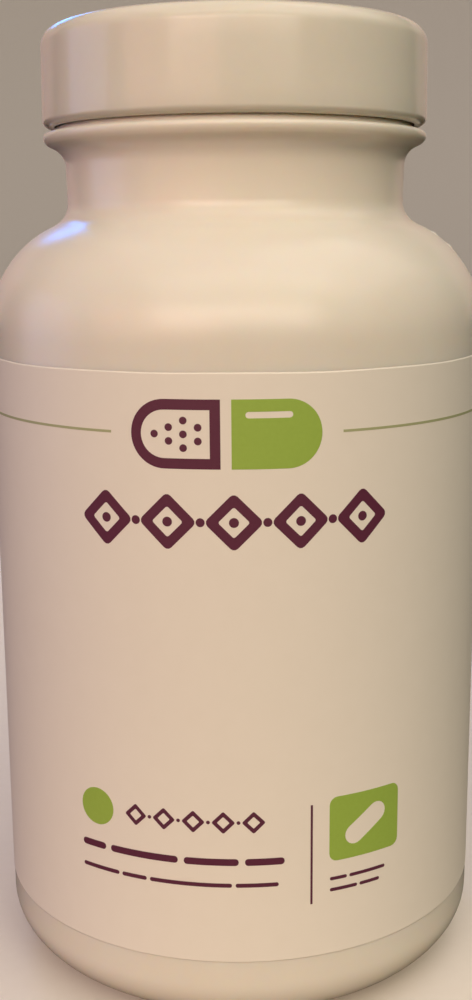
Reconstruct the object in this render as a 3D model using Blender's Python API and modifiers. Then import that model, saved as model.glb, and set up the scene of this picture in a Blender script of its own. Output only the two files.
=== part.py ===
"""Supplement bottle with a screw cap.

A blow-moulded wide-mouth bottle for capsules, the paper label wrapped round it, its smooth moulded
screw cap and the liner disc inside the cap. Metres, +Z up, with the origin at the middle of the base.
The cap turns and rises about +Z on the thread's own pitch.
"""

import math

import bmesh
import bpy

SIDES = 48  # facets round every turned surface
FULL_TURN = 2 * math.pi
SHARP = math.radians(35)  # edges steeper than this stay sharp when shaded

# Body of the bottle
BODY_RADIUS = 0.03125
WALL = 0.0012
SHOULDER_CURVE = 0.01394  # radius of the shoulder, seen from the side
SHOULDER_START = 0.0825  # height at which the straight side ends
HEEL_REACH = 0.0105  # how far the heel's curve comes in from the side
HEEL_HEIGHT = 0.0076
RING_WIDTH = 0.0024  # flat ring that the bottle stands on
PUSH_UP = 0.0018  # rise of the base's middle
PUSH_UP_STEP = 0.0011  # part of that rise which the ring's inner edge takes

# Neck, and the bead under the cap
NECK_RADIUS = 0.02111
NECK_FILLET = 0.0031
BEAD_RADIUS = 0.02387
BEAD_HEIGHT = 0.0021
BEAD_FILLET = 0.00296
MOUTH_RADIUS = 0.0186
MOUTH_FILLET = 0.0040
LIP_BEVEL = 0.0004

# Cap and liner
HEIGHT = 0.1188  # the whole object, to the top of the cap
CAP_RIM_RADIUS = 0.0239
CAP_TOP_RADIUS = 0.0238
CAP_HEIGHT = 0.01173
CAP_CORNER = 0.0022
CAP_TOP_WALL = 0.0014
CAP_GAP = 0.00067  # between the cap's rim and the bead
RIM_BEVEL = 0.0003
LINER_THICKNESS = 0.0010
LINER_CLEARANCE = 0.0004
SEAT = 0.0003  # room left where one piece rests on another

# Thread: right-hand, six turns to the inch
PITCH = 0.0254 / 6
FINISH_RADIUS = 0.02103  # wall of the neck between the threads
THREAD_DEPTH = 0.00105
THREAD_CLEARANCE = 0.00032
BOTTLE_ROOT_WIDTH = 0.0022
BOTTLE_CREST_WIDTH = 0.0010
BOTTLE_THREAD_TURNS = 1.40
BOTTLE_THREAD_START = 0.0016  # middle of its lower end, above the bead
CAP_ROOT_WIDTH = 0.0018
CAP_CREST_WIDTH = 0.0008
CAP_THREAD_TURNS = 1.20
CAP_THREAD_START = 0.0016  # middle of its lower end, above the cap's rim
CAP_THREAD_LIFT = 0.0004  # its seat above the middle of the bottle's groove
THREAD_SUNK = 0.0004  # depth of a thread's root inside its wall
THREAD_FADE = 0.08  # turns over which a thread's end rises out of its wall

# Label
LABEL_TOP = 0.0799
LABEL_BOTTOM = 0.0104
LABEL_THICKNESS = 0.0002
LABEL_SIDES = 2 * SIDES  # finer, so that its edges stay true to the bottle's side
LABEL_SEAM_SIDES = 2  # sides left out at the back, as the gap between the label's ends

# Places that follow from those sizes
CAP_RIM = HEIGHT - CAP_HEIGHT
BEAD_TOP = CAP_RIM - CAP_GAP
LINER_BOTTOM = HEIGHT - CAP_TOP_WALL - SEAT - LINER_THICKNESS
LIP = LINER_BOTTOM - SEAT
CAP_BORE = FINISH_RADIUS + THREAD_DEPTH + THREAD_CLEARANCE
PANEL_DEPTH = SEAT + LABEL_THICKNESS / 2  # how far the side is sunk to seat the label
PANEL_RADIUS = BODY_RADIUS - PANEL_DEPTH


def clear_scene():
    for old in list(bpy.data.objects):
        bpy.data.objects.remove(old, do_unlink=True)


def new_collection(name):
    collection = bpy.data.collections.new(name)
    bpy.context.scene.collection.children.link(collection)
    return collection


def plastic(name, color, roughness):
    material = bpy.data.materials.new(name)
    material.use_nodes = True
    shader = material.node_tree.nodes["Principled BSDF"]
    shader.inputs["Base Color"].default_value = (*color, 1.0)
    shader.inputs["Roughness"].default_value = roughness
    shader.inputs["Metallic"].default_value = 0.0
    return material


def new_piece(name, mesh, collection, material=None):
    piece = bpy.data.objects.new(name, mesh)
    if material:
        mesh.materials.append(material)
    collection.objects.link(piece)
    return piece


def cutter(piece):
    """Keeps a helper out of the object: it only shapes other pieces."""
    piece.hide_render = True
    piece.display_type = "WIRE"


def realise(piece):
    """Gives the piece the mesh that its modifiers make, shaded smooth between its sharp edges."""
    graph = bpy.context.evaluated_depsgraph_get()
    plain = piece.data
    piece.data = bpy.data.meshes.new_from_object(piece.evaluated_get(graph))
    piece.modifiers.clear()
    piece.data.name = plain.name
    bpy.data.meshes.remove(plain)
    piece.data.shade_smooth()
    piece.data.set_sharp_from_angle(angle=SHARP)


def arc(centre, radii, start, end, steps):
    """Points from the angle start to end, in degrees, round a centre in the radius-height plane."""
    points = []
    for step in range(steps + 1):
        angle = math.radians(start + (end - start) * step / steps)
        points.append((centre[0] + radii[0] * math.cos(angle), centre[1] + radii[1] * math.sin(angle)))
    return points


def profile_mesh(name, profile):
    """An open line of (radius, height) points, ready to be turned about Z."""
    mesh = bpy.data.meshes.new(name)
    line = bmesh.new()
    points = [line.verts.new((radius, 0.0, height)) for radius, height in profile]
    for first, second in zip(points, points[1:]):
        line.edges.new((first, second))
    line.to_mesh(mesh)
    line.free()
    return mesh


def add_turn(piece, angle=FULL_TURN, sides=SIDES):
    screw = piece.modifiers.new("turn", "SCREW")
    screw.axis = "Z"
    screw.angle = angle
    screw.steps = sides
    screw.render_steps = sides
    screw.use_merge_vertices = True
    screw.merge_threshold = 0.00001


def add_union(piece, other):
    union = piece.modifiers.new("union", "BOOLEAN")
    union.operation = "UNION"
    union.object = other


def shoulder(wall_radius, fillet, inset, steps):
    """From the neck's wall down over the shoulder to the straight side, which is moved in by inset.

    The fillet under the neck and the shoulder's curve meet with no corner, so the angle at which
    they meet follows from how far apart their centres are.
    """
    centre = BODY_RADIUS - SHOULDER_CURVE
    curve = SHOULDER_CURVE - inset
    meet = math.acos((wall_radius + fillet - centre) / (curve + fillet))
    fillet_height = SHOULDER_START + (curve + fillet) * math.sin(meet)
    meet = math.degrees(meet)
    hollow = arc((wall_radius + fillet, fillet_height), (fillet, fillet), 180, 180 + meet, steps // 2)
    crown = arc((centre, SHOULDER_START), (curve, curve), meet, 0, steps)
    return hollow + crown[1:]


def bead():
    """From the neck's wall out along the bead's top, round its edge and back in under it."""
    edge = BEAD_HEIGHT / 2
    centre = BEAD_RADIUS - edge
    meet = math.acos((NECK_RADIUS + BEAD_FILLET - centre) / (edge + BEAD_FILLET))
    middle = BEAD_TOP - edge
    hollow_height = middle - (edge + BEAD_FILLET) * math.sin(meet)
    meet = math.degrees(meet)
    rim = arc((centre, middle), (edge, edge), 90, -meet, 6)
    hollow_centre = (NECK_RADIUS + BEAD_FILLET, hollow_height)
    return rim + arc(hollow_centre, (BEAD_FILLET, BEAD_FILLET), 180 - meet, 180, 5)[1:]


def heel(inset, steps):
    """From the straight side round to the base, with the surface moved in by inset."""
    centre = (BODY_RADIUS - HEEL_REACH, HEEL_HEIGHT)
    return arc(centre, (HEEL_REACH - inset, HEEL_HEIGHT - inset), 0, -90, steps)


def bottle_inside():
    """From the middle of the floor up the inside of the bottle to the lip."""
    ring_inner = BODY_RADIUS - HEEL_REACH - RING_WIDTH
    floor = [
        (0.0, PUSH_UP + WALL),
        (ring_inner - PUSH_UP_STEP - WALL, PUSH_UP_STEP + WALL),
        (ring_inner - WALL / 2, WALL),
    ]
    side = heel(WALL, 4)[::-1]
    top = shoulder(MOUTH_RADIUS, MOUTH_FILLET, WALL, 6)[::-1]
    return floor + side + top + [(MOUTH_RADIUS, LIP - LIP_BEVEL)]


def bottle_outside():
    """From the lip down the outside of the bottle to the middle of its base."""
    lip = [
        (MOUTH_RADIUS + LIP_BEVEL, LIP),
        (FINISH_RADIUS - LIP_BEVEL, LIP),
        (FINISH_RADIUS, LIP - LIP_BEVEL),
        (FINISH_RADIUS, BEAD_TOP),
    ]
    panel = [
        (BODY_RADIUS, LABEL_TOP + SEAT + PANEL_DEPTH),
        (PANEL_RADIUS, LABEL_TOP + SEAT),
        (PANEL_RADIUS, LABEL_BOTTOM - SEAT),
        (BODY_RADIUS, LABEL_BOTTOM - SEAT - PANEL_DEPTH),
    ]
    ring_inner = BODY_RADIUS - HEEL_REACH - RING_WIDTH
    base = [
        (ring_inner, 0.0),
        (ring_inner - PUSH_UP_STEP, PUSH_UP_STEP),
        (0.0, PUSH_UP),
    ]
    neck_and_shoulder = shoulder(NECK_RADIUS, NECK_FILLET, 0.0, 10)
    return lip + bead() + neck_and_shoulder + panel + heel(0.0, 7) + base


def thread(name, collection, wall, outward, root_width, crest_width, turns, start):
    """A helical rib on a round wall, as a closed body whose root is sunk into the wall.

    outward is 1 for a rib on the outside of the wall and -1 for one on the inside. start gives the
    turn at which the rib begins and the height of its middle there. Both ends fade into the wall.
    """
    first_turn, first_height = start
    steps = round(turns * SIDES)
    flank = (root_width - crest_width) / 2 / THREAD_DEPTH
    root_half = root_width / 2 + flank * THREAD_SUNK
    rib = bmesh.new()
    rings = []
    for step in range(steps + 1):
        turned = step / SIDES
        angle = FULL_TURN * (first_turn + turned)
        height = first_height + PITCH * turned
        rise = min(1.0, turned / THREAD_FADE, (steps / SIDES - turned) / THREAD_FADE)
        crest = wall + outward * (THREAD_DEPTH * rise - THREAD_SUNK / 2 * (1 - rise))
        root = wall - outward * THREAD_SUNK
        section = [
            (root, height - root_half),
            (crest, height - crest_width / 2),
            (crest, height + crest_width / 2),
            (root, height + root_half),
        ]
        rings.append([rib.verts.new((r * math.cos(angle), r * math.sin(angle), z)) for r, z in section])
    for lower, upper in zip(rings, rings[1:]):
        for side in range(4):
            after = (side + 1) % 4
            rib.faces.new((lower[side], lower[after], upper[after], upper[side]))
    rib.faces.new(rings[0])
    rib.faces.new(rings[-1])
    bmesh.ops.recalc_face_normals(rib, faces=rib.faces)
    mesh = bpy.data.meshes.new(name)
    rib.to_mesh(mesh)
    rib.free()
    piece = new_piece(name, mesh, collection)
    cutter(piece)
    return piece


def make_bottle(parts, helpers):
    white_hdpe = plastic("white_hdpe", (0.80, 0.76, 0.69), 0.42)
    profile = bottle_inside() + bottle_outside()
    bottle = new_piece("bottle", profile_mesh("bottle", profile), parts, white_hdpe)
    add_turn(bottle)
    rib = thread(
        "bottle_thread",
        helpers,
        wall=FINISH_RADIUS,
        outward=1,
        root_width=BOTTLE_ROOT_WIDTH,
        crest_width=BOTTLE_CREST_WIDTH,
        turns=BOTTLE_THREAD_TURNS,
        start=(0.0, BEAD_TOP + BOTTLE_THREAD_START),
    )
    add_union(bottle, rib)
    realise(bottle)


def make_label(parts):
    paper = plastic("label_paper", (0.82, 0.78, 0.71), 0.50)
    middle = PANEL_RADIUS + SEAT + LABEL_THICKNESS / 2
    seam = FULL_TURN * LABEL_SEAM_SIDES / LABEL_SIDES
    back = math.pi / 2 + seam / 2
    mesh = profile_mesh("label", [(middle, LABEL_TOP), (middle, LABEL_BOTTOM)])
    for point in mesh.vertices:
        point.co.x, point.co.y = middle * math.cos(back), middle * math.sin(back)
    label = new_piece("label", mesh, parts, paper)
    add_turn(label, FULL_TURN - seam, LABEL_SIDES - LABEL_SEAM_SIDES)
    wall = label.modifiers.new("thickness", "SOLIDIFY")
    wall.thickness = LABEL_THICKNESS
    wall.offset = 0.0
    wall.use_even_offset = True
    realise(label)


def cap_profile():
    """From the middle of the cap's top down its outside, round the rim and up the inside.

    Heights are above the rim.
    """
    corner_centre = (CAP_TOP_RADIUS - CAP_CORNER, CAP_HEIGHT - CAP_CORNER)
    corner = arc(corner_centre, (CAP_CORNER, CAP_CORNER), 90, 0, 7)
    rim = [
        (CAP_RIM_RADIUS, RIM_BEVEL),
        (CAP_RIM_RADIUS - RIM_BEVEL, 0.0),
        (CAP_BORE + RIM_BEVEL, 0.0),
        (CAP_BORE, RIM_BEVEL),
    ]
    inside = [
        (CAP_BORE, CAP_HEIGHT - CAP_TOP_WALL - RIM_BEVEL),
        (CAP_BORE - RIM_BEVEL, CAP_HEIGHT - CAP_TOP_WALL),
        (0.0, CAP_HEIGHT - CAP_TOP_WALL),
    ]
    return [(0.0, CAP_HEIGHT)] + corner + rim + inside


def cap_thread_start():
    """The turn at which the cap's thread begins, and the height of its middle there above the rim.

    The cap's thread lies in the groove under the bottle's, a little above the groove's middle, so
    that it comes to bear on the bottle's thread as the cap is tightened.
    """
    groove = BEAD_TOP + BOTTLE_THREAD_START - PITCH / 2 + CAP_THREAD_LIFT - CAP_RIM
    facet = round((CAP_THREAD_START - groove) / PITCH * SIDES)
    return facet / SIDES, groove + PITCH * facet / SIDES


def make_cap(parts, helpers, axis):
    white_pp = plastic("white_pp", (0.78, 0.74, 0.67), 0.36)
    cap = new_piece("cap", profile_mesh("cap", cap_profile()), parts, white_pp)
    cap.parent = axis
    add_turn(cap)
    rib = thread(
        "cap_thread",
        helpers,
        wall=CAP_BORE,
        outward=-1,
        root_width=CAP_ROOT_WIDTH,
        crest_width=CAP_CREST_WIDTH,
        turns=CAP_THREAD_TURNS,
        start=cap_thread_start(),
    )
    rib.parent = axis
    bpy.context.view_layer.update()
    add_union(cap, rib)
    realise(cap)


def make_liner(parts, axis):
    foam = plastic("liner_foam", (0.86, 0.85, 0.82), 0.80)
    mesh = bpy.data.meshes.new("liner")
    disc = bmesh.new()
    radius = CAP_BORE - LINER_CLEARANCE
    bmesh.ops.create_cone(
        disc, cap_ends=True, segments=SIDES, radius1=radius, radius2=radius, depth=LINER_THICKNESS
    )
    disc.to_mesh(mesh)
    disc.free()
    liner = new_piece("liner", mesh, parts, foam)
    liner.parent = axis
    liner.location.z = LINER_BOTTOM + LINER_THICKNESS / 2 - CAP_RIM
    realise(liner)


def main():
    clear_scene()
    parts = new_collection("supplement_bottle")
    helpers = new_collection("helpers")
    cap_axis = new_piece("cap_axis", None, parts)
    cap_axis.location.z = CAP_RIM
    make_bottle(parts, helpers)
    make_label(parts)
    make_cap(parts, helpers, cap_axis)
    make_liner(parts, cap_axis)


main()
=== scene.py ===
"""Supplement bottle with a screw cap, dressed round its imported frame.

A blow-moulded bottle, the printed paper label wrapped round it, its smooth moulded screw cap and
the foam liner inside the cap. Metres, +Z up, with the origin at the middle of the base. The front
of the label faces -Y. The label's print is generic: capsules, lozenges and plain bars stand where
words and marks would be.
"""

from __future__ import annotations

import logging
import math
from dataclasses import dataclass, field
from enum import Enum

import bmesh
import bpy
from mathutils import Matrix, Vector


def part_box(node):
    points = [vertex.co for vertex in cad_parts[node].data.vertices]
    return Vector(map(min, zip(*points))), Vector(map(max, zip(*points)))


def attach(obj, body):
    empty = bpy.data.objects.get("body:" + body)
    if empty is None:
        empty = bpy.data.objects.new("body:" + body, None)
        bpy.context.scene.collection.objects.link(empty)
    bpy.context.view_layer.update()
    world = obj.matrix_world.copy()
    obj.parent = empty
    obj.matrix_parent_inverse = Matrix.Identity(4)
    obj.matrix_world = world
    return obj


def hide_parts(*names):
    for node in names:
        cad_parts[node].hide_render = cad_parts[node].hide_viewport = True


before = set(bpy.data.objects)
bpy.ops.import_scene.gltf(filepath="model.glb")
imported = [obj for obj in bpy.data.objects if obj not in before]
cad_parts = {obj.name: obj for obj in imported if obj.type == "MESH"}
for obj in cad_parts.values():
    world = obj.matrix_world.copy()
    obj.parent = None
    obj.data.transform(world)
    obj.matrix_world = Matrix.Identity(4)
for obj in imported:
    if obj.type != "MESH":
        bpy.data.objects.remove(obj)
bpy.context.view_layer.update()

MM = 0.001
FULL_TURN = 2 * math.pi
WELD = 1e-7  # points closer than this are one point

BEAD_TOP = 106.4 * MM  # height of the bead's flat top, which the neck and the cap both go by
THREAD_PITCH = 25.4 * MM / 6  # six threads to the inch
THREAD_START = 1.6 * MM  # height of the neck thread's lower end above the bead

log = logging.getLogger("supplement_bottle")


def linear(code: str) -> tuple[float, float, float, float]:
    """Turns an sRGB hex colour into the linear one that shaders and lights take.

    Args:
        code: The colour as "#RRGGBB".

    Returns:
        Red, green, blue and an alpha of 1.
    """
    channels = [int(code[place : place + 2], 16) / 255 for place in (1, 3, 5)]
    red, green, blue = (
        c / 12.92 if c <= 0.04045 else ((c + 0.055) / 1.055) ** 2.4 for c in channels
    )
    return red, green, blue, 1.0


def per_metre(size: float) -> float:
    """Gives the texture scale that makes a pattern's features about size millimetres across."""
    return 1 / (size * MM)


def add_node(
    tree: bpy.types.NodeTree, kind: str, inputs: dict, **settings: object
) -> bpy.types.Node:
    """Adds a node with its settings, and fills its inputs.

    Args:
        tree: The node tree that takes it.
        kind: The node's type name.
        inputs: For each input's name or index, the output to link to it or the value to give it.
        settings: The node's own properties.

    Returns:
        The new node.
    """
    node = tree.nodes.new(kind)
    for name, value in settings.items():
        setattr(node, name, value)
    for name, value in inputs.items():
        if isinstance(value, bpy.types.NodeSocket):
            tree.links.new(value, node.inputs[name])
        else:
            node.inputs[name].default_value = value
    return node


# -------------------------------------------------------------------------------------------------
# Finishes


@dataclass(frozen=True)
class Finish:
    """What a surface is made of. Each kind of finish dresses the shader in its own way."""

    name: str
    colour: str
    shade: str  # the colour that it drifts to
    roughness: float
    ior: float
    gloss_spread: float = 0.05  # how far the roughness drifts to either side

    def material(self) -> bpy.types.Material:
        """Builds the procedural material.

        Returns:
            The material, named for what it is.
        """
        material = bpy.data.materials.new(self.name)
        material.use_nodes = True
        tree = material.node_tree
        shader = tree.nodes["Principled BSDF"]
        shader.inputs["IOR"].default_value = self.ior
        place = add_node(tree, "ShaderNodeTexCoord", {}).outputs["Object"]
        self.dress(tree, shader, place)
        return material

    def dress(
        self, tree: bpy.types.NodeTree, shader: bpy.types.Node, place: bpy.types.NodeSocket
    ) -> None:
        """Links the finish's patterns to its shader.

        Args:
            tree: The material's nodes.
            shader: The principled shader.
            place: The object's own coordinates, in metres.
        """
        raise NotImplementedError

    def drift(
        self, tree: bpy.types.NodeTree, shader: bpy.types.Node, pattern: bpy.types.NodeSocket
    ) -> None:
        """Lets the colour and the roughness wander with a pattern.

        Args:
            tree: The material's nodes.
            shader: The principled shader.
            pattern: What the drift follows, from 0 to 1.
        """
        mixed = add_node(
            tree,
            "ShaderNodeMix",
            {"Factor": pattern, "A": linear(self.colour), "B": linear(self.shade)},
            data_type="RGBA",
        )
        tree.links.new(mixed.outputs["Result"], shader.inputs["Base Color"])
        low, high = self.roughness - self.gloss_spread, self.roughness + self.gloss_spread
        gloss = add_node(
            tree, "ShaderNodeMapRange", {"Value": pattern, "To Min": low, "To Max": high}
        )
        tree.links.new(gloss.outputs["Result"], shader.inputs["Roughness"])

    def raise_surface(
        self,
        tree: bpy.types.NodeTree,
        shader: bpy.types.Node,
        layers: list[tuple[bpy.types.NodeSocket, float]],
    ) -> None:
        """Gives the surface its relief, one pattern over another.

        Args:
            tree: The material's nodes.
            shader: The principled shader.
            layers: Each pattern, from 0 to 1, with the millimetres that it stands proud.
        """
        below: dict = {}
        for pattern, depth in layers:
            inputs = {"Height": pattern, "Distance": depth * MM, **below}
            below = {"Normal": add_node(tree, "ShaderNodeBump", inputs).outputs["Normal"]}
        tree.links.new(below["Normal"], shader.inputs["Normal"])


@dataclass(frozen=True)
class MilkyPlastic(Finish):
    """A white plastic that light goes into and leaves again a little way off, redder for it."""

    milk_share: float = 0.45  # how much of the light goes in
    milk_depth: float = 1.8  # mm
    milk_reach: tuple[float, float, float] = (1.0, 0.70, 0.45)  # red, green and blue, by the depth

    def let_light_in(self, shader: bpy.types.Node) -> None:
        """Sets how far light goes into the plastic.

        Args:
            shader: The principled shader.
        """
        shader.inputs["Subsurface Weight"].default_value = self.milk_share
        shader.inputs["Subsurface Radius"].default_value = self.milk_reach
        shader.inputs["Subsurface Scale"].default_value = self.milk_depth * MM


@dataclass(frozen=True)
class BlowMouldedHdpe(MilkyPlastic):
    """High-density polyethylene, blow moulded: waxy and a little translucent, with a faint peel in
    its gloss from the blasted mould and fine upright lines drawn by the die."""

    gloss_spread: float = 0.025
    peel: float = 0.45  # mm, as the rest here, and coarser than the mould's blast so that it shows
    peel_depth: float = 0.0020
    swell: float = 7.0
    swell_depth: float = 0.010
    die_line: float = 0.9
    die_line_depth: float = 0.0020
    die_line_run: float = 0.02  # how much slower the lines change upwards than across

    def dress(
        self, tree: bpy.types.NodeTree, shader: bpy.types.Node, place: bpy.types.NodeSocket
    ) -> None:
        """Adds the peel, the die lines, the wall's slow swell and the plastic's milky depth.

        Args:
            tree: The material's nodes.
            shader: The principled shader.
            place: The object's own coordinates, in metres.
        """
        upright = add_node(
            tree, "ShaderNodeMapping", {"Vector": place, "Scale": (1.0, 1.0, self.die_line_run)}
        ).outputs["Vector"]
        swell, lines, peel = (
            add_node(
                tree,
                "ShaderNodeTexNoise",
                {"Vector": vector, "Scale": per_metre(size), "Detail": detail},
            ).outputs["Fac"]
            for vector, size, detail in (
                (place, self.swell, 2.0),
                (upright, self.die_line, 2.0),
                (place, self.peel, 3.0),
            )
        )
        relief = [(swell, self.swell_depth), (lines, self.die_line_depth), (peel, self.peel_depth)]
        self.raise_surface(tree, shader, relief)
        self.drift(tree, shader, swell)
        self.let_light_in(shader)


@dataclass(frozen=True)
class MouldedPolypropylene(MilkyPlastic):
    """Polypropylene, injection moulded in a polished tool: a smooth satin skin with a soft sink in
    it and the odd rub mark from being packed."""

    gloss_spread: float = 0.03
    milk_depth: float = 1.2
    milk_reach: tuple[float, float, float] = (1.0, 0.72, 0.46)
    grain: float = 0.30  # mm, as the rest here
    grain_depth: float = 0.0012
    sink: float = 11.0
    sink_depth: float = 0.009
    rub: float = 1.6

    def dress(
        self, tree: bpy.types.NodeTree, shader: bpy.types.Node, place: bpy.types.NodeSocket
    ) -> None:
        """Adds the tool's grain, the skin's slow sink, the rubbed gloss and the milky depth.

        Args:
            tree: The material's nodes.
            shader: The principled shader.
            place: The object's own coordinates, in metres.
        """
        sink, grain, rub = (
            add_node(
                tree,
                "ShaderNodeTexNoise",
                {"Vector": place, "Scale": per_metre(size), "Detail": detail},
            ).outputs["Fac"]
            for size, detail in ((self.sink, 1.0), (self.grain, 2.0), (self.rub, 5.0))
        )
        self.raise_surface(tree, shader, [(sink, self.sink_depth), (grain, self.grain_depth)])
        self.drift(tree, shader, rub)
        self.let_light_in(shader)


@dataclass(frozen=True)
class CoatedPaper(Finish):
    """Coated label paper with a matt varnish: even and dry, the fibres just showing through."""

    fibre: float = 0.35  # mm, as the rest here, and coarser than real fibres so that they show
    fibre_depth: float = 0.0022
    fibre_lie: float = 2.2  # how much shorter the fibres are upwards than along the sheet
    cloud: float = 2.5
    cockle: float = 14.0
    cockle_depth: float = 0.040

    def dress(
        self, tree: bpy.types.NodeTree, shader: bpy.types.Node, place: bpy.types.NodeSocket
    ) -> None:
        """Adds the fibres, the sheet's cloudy formation and its slight cockle over the plastic.

        Args:
            tree: The material's nodes.
            shader: The principled shader.
            place: The object's own coordinates, in metres.
        """
        lying = add_node(
            tree, "ShaderNodeMapping", {"Vector": place, "Scale": (1.0, 1.0, self.fibre_lie)}
        ).outputs["Vector"]
        fibre, cloud, cockle = (
            add_node(
                tree,
                "ShaderNodeTexNoise",
                {"Vector": vector, "Scale": per_metre(size), "Detail": detail},
            ).outputs["Fac"]
            for vector, size, detail in (
                (lying, self.fibre, 4.0),
                (place, self.cloud, 4.0),
                (place, self.cockle, 1.0),
            )
        )
        self.raise_surface(tree, shader, [(cockle, self.cockle_depth), (fibre, self.fibre_depth)])
        self.drift(tree, shader, cloud)


@dataclass(frozen=True)
class PrintedInk(Finish):
    """Offset ink on the coated paper: a flat colour that mottles a little, under the varnish."""

    mottle: float = 0.5  # mm
    tooth: float = 0.0015  # mm

    def dress(
        self, tree: bpy.types.NodeTree, shader: bpy.types.Node, place: bpy.types.NodeSocket
    ) -> None:
        """Adds the ink's mottle, in its colour and as a slight tooth.

        Args:
            tree: The material's nodes.
            shader: The principled shader.
            place: The object's own coordinates, in metres.
        """
        mottle = add_node(
            tree,
            "ShaderNodeTexNoise",
            {"Vector": place, "Scale": per_metre(self.mottle), "Detail": 4.0},
        ).outputs["Fac"]
        self.raise_surface(tree, shader, [(mottle, self.tooth)])
        self.drift(tree, shader, mottle)


@dataclass(frozen=True)
class FoamedPolyethylene(Finish):
    """Expanded polyethylene sheet: dull and soft, pricked all over by its closed cells."""

    gloss_spread: float = 0.04
    cell: float = 0.35  # mm
    cell_depth: float = 0.03

    def dress(
        self, tree: bpy.types.NodeTree, shader: bpy.types.Node, place: bpy.types.NodeSocket
    ) -> None:
        """Adds the cells, sunk into the skin.

        Args:
            tree: The material's nodes.
            shader: The principled shader.
            place: The object's own coordinates, in metres.
        """
        cells = add_node(
            tree, "ShaderNodeTexVoronoi", {"Vector": place, "Scale": per_metre(self.cell)}
        ).outputs["Distance"]
        self.raise_surface(tree, shader, [(cells, self.cell_depth)])
        self.drift(tree, shader, cells)


@dataclass(frozen=True)
class MattPaint(Finish):
    """Matt emulsion, as on the studio's sweep: flat, with a trace of roller texture."""

    gloss_spread: float = 0.03
    roller: float = 1.8  # mm
    roller_depth: float = 0.02

    def dress(
        self, tree: bpy.types.NodeTree, shader: bpy.types.Node, place: bpy.types.NodeSocket
    ) -> None:
        """Adds the roller's texture.

        Args:
            tree: The material's nodes.
            shader: The principled shader.
            place: The object's own coordinates, in metres.
        """
        roller = add_node(
            tree,
            "ShaderNodeTexNoise",
            {"Vector": place, "Scale": per_metre(self.roller), "Detail": 3.0},
        ).outputs["Fac"]
        self.raise_surface(tree, shader, [(roller, self.roller_depth)])
        self.drift(tree, shader, roller)


# Each takes its name, its colour and the shade it drifts to, its roughness and its IOR.

# The bottle: a warm white with a broad satin gloss, softest where the wall turns away.
WHITE_HDPE = BlowMouldedHdpe("blow_moulded_white_hdpe", "#EEE9DC", "#EBE5D6", 0.24, 1.54)
# The cap: a cooler, denser white with a tighter gloss, which draws its edges crisply.
WHITE_PP = MouldedPolypropylene("moulded_white_polypropylene", "#E4E1D3", "#E1DECF", 0.16, 1.49)
# The label: drier and brighter than the plastic, so that it reads as paper with no highlight.
LABEL_PAPER = CoatedPaper("coated_label_paper", "#F1EDE1", "#EEEADD", 0.50, 1.48)
# The inks: flat and even, a touch glossier than the bare paper round them.
GREEN_INK = PrintedInk("green_offset_ink", "#9FBF52", "#98B84B", 0.46, 1.50)
OLIVE_INK = PrintedInk("olive_offset_ink", "#AFB488", "#AAAF83", 0.48, 1.50)
AUBERGINE_INK = PrintedInk("aubergine_offset_ink", "#622D44", "#5B283F", 0.44, 1.50)
# The liner: chalky, its pricked skin catching no gloss.
LINER_FOAM = FoamedPolyethylene("expanded_polyethylene_foam", "#F4F2EC", "#E6E3DA", 0.80, 1.45)
# The studio: painted surfaces that give light back evenly and show no highlight.
CARD_PAINT = MattPaint("buff_card", "#B0A699", "#ACA295", 0.85, 1.45)
SWEEP_PAINT = MattPaint("pale_matt_emulsion", "#F2EEE6", "#EFEAE1", 0.85, 1.45)


# -------------------------------------------------------------------------------------------------
# Making and handing over a piece


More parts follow.
